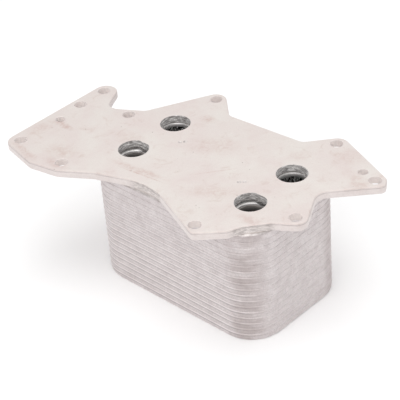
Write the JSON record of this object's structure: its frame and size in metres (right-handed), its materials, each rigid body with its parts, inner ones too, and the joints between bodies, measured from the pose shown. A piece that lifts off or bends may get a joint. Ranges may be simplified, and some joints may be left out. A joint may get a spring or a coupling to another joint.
{
  "type": "hydraulic oil cooler",
  "caption": "Brazed plate oil cooler: a stack of dished plates and folded fin sheets under an irregular mounting plate with round ports and bolt lugs.",
  "frame": {"origin": "centre of the four ports on the top face of the mounting plate, which is the sealing face", "axes": "+Z out of the sealing face, +X along the long side of the core, +Y towards the oil ports; the core hangs below in -Z"},
  "size_m": [0.2306, 0.1415, 0.0883],
  "materials": {
    "blanked_plate": "matt bare aluminium after furnace brazing, with faint flux stains",
    "brazed_cover": "matt bare aluminium with braze fillets",
    "brazed_core": "matt bare aluminium with braze fillets",
    "fin_sheet": "bright rolled aluminium fin sheet"
  },
  "bodies": {
    "root": {"mounting_plate": "blanked_plate", "cover_plate": "brazed_cover", "core_pan_01": "brazed_core", "core_pan_02": "brazed_core", "core_pan_03": "brazed_core", "core_pan_04": "brazed_core", "core_pan_05": "brazed_core", "core_pan_06": "brazed_core", "core_pan_07": "brazed_core", "core_pan_08": "brazed_core", "core_pan_09": "brazed_core", "core_pan_10": "brazed_core", "core_pan_11": "brazed_core", "core_pan_12": "brazed_core", "core_pan_13": "brazed_core", "core_pan_14": "brazed_core", "core_pan_15": "brazed_core", "core_pan_16": "brazed_core", "core_pan_17": "brazed_core", "core_pan_18": "brazed_core", "turbulator_01": "fin_sheet", "turbulator_02": "fin_sheet", "turbulator_03": "fin_sheet", "turbulator_04": "fin_sheet", "turbulator_05": "fin_sheet", "turbulator_06": "fin_sheet", "turbulator_07": "fin_sheet", "turbulator_08": "fin_sheet", "turbulator_09": "fin_sheet", "turbulator_10": "fin_sheet", "turbulator_11": "fin_sheet", "turbulator_12": "fin_sheet", "turbulator_13": "fin_sheet", "turbulator_14": "fin_sheet", "turbulator_15": "fin_sheet", "turbulator_16": "fin_sheet", "turbulator_17": "fin_sheet", "turbulator_18": "fin_sheet"}
  },
  "joints": []
}
